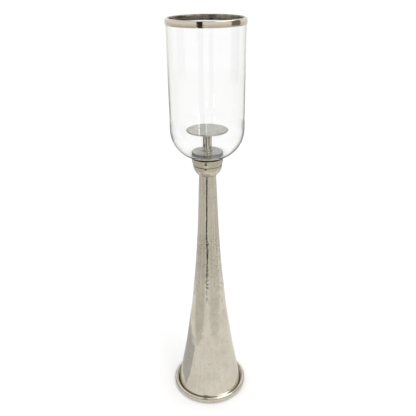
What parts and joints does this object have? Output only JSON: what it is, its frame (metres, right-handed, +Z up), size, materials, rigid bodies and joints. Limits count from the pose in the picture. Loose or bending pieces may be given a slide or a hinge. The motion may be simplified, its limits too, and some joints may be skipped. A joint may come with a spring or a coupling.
{
  "type": "hurricane candle lantern",
  "caption": "Floor-standing hurricane candle lantern: a clear glass shade with a metal rim and a screwed-in candle plate, on a tall flared column with a ring foot.",
  "frame": {"origin": "middle of the underside of the foot, on the floor", "axes": "+Z up along the column and the shade; the lantern is round, so +X and +Y are any two square directions on the floor"},
  "size_m": [0.201, 0.201, 1],
  "materials": {
    "felt": "dark felt",
    "cast_iron": "raw casting with a coat of black primer",
    "nickel_casting": "polished warm nickel plating on a sand casting",
    "nickel_turned": "polished warm nickel plating on a turned ring",
    "nickel_rim": "polished nickel plating on rolled sheet",
    "nickel_tube": "polished nickel plating on tube",
    "satin_plate": "satin, turned grain",
    "satin_aluminium": "satin, turned",
    "zinc_steel": "bright zinc plating",
    "gasket_rubber": "soft black rubber",
    "clear_glass": "clear blown glass"
  },
  "bodies": {
    "base": {"floor_pad": "felt", "base_weight": "cast_iron", "foot_ring": "nickel_casting", "rod_nut": "zinc_steel", "rod_lock_washer": "zinc_steel", "rod_washer": "zinc_steel", "tie_rod": "zinc_steel", "column": "nickel_casting", "collar_bowl": "nickel_casting", "collar_washer": "zinc_steel", "coupling_nut": "zinc_steel", "collar_ring": "nickel_turned", "seat_gasket": "gasket_rubber"},
    "shade": {"glass_shade": "clear_glass", "rim_seal": "gasket_rubber", "rim_band": "nickel_rim"},
    "clamp_seal": {"clamp_gasket": "gasket_rubber"},
    "clamp": {"clamp_disc": "satin_aluminium"},
    "candle_holder": {"holder_stud": "zinc_steel", "stem_insert": "zinc_steel", "stem_tube": "nickel_tube", "candle_plate": "satin_plate"}
  },
  "joints": [
    {"name": "shade_lift", "type": "slide", "parent": "base", "child": "shade", "axis": [0, 0, 1], "range_m": [0, 0.15]},
    {"name": "holder_lift", "type": "slide", "parent": "shade", "child": "clamp_seal", "axis": [0, 0, 1], "range_m": [0, 0.4]},
    {"name": "holder_rise", "type": "slide", "parent": "clamp_seal", "child": "clamp", "axis": [0, 0, 1], "range_m": [0, 0.01651]},
    {"name": "holder_turn", "type": "hinge", "parent": "clamp", "child": "candle_holder", "pos_m": [0, 0, 0.6995], "axis": [0, 0, 1], "range_deg": [0, 3960]}
  ],
  "couplings": [
    {"joint": "holder_rise", "follows": "holder_turn", "m_per_rad": 0.00023873}
  ]
}
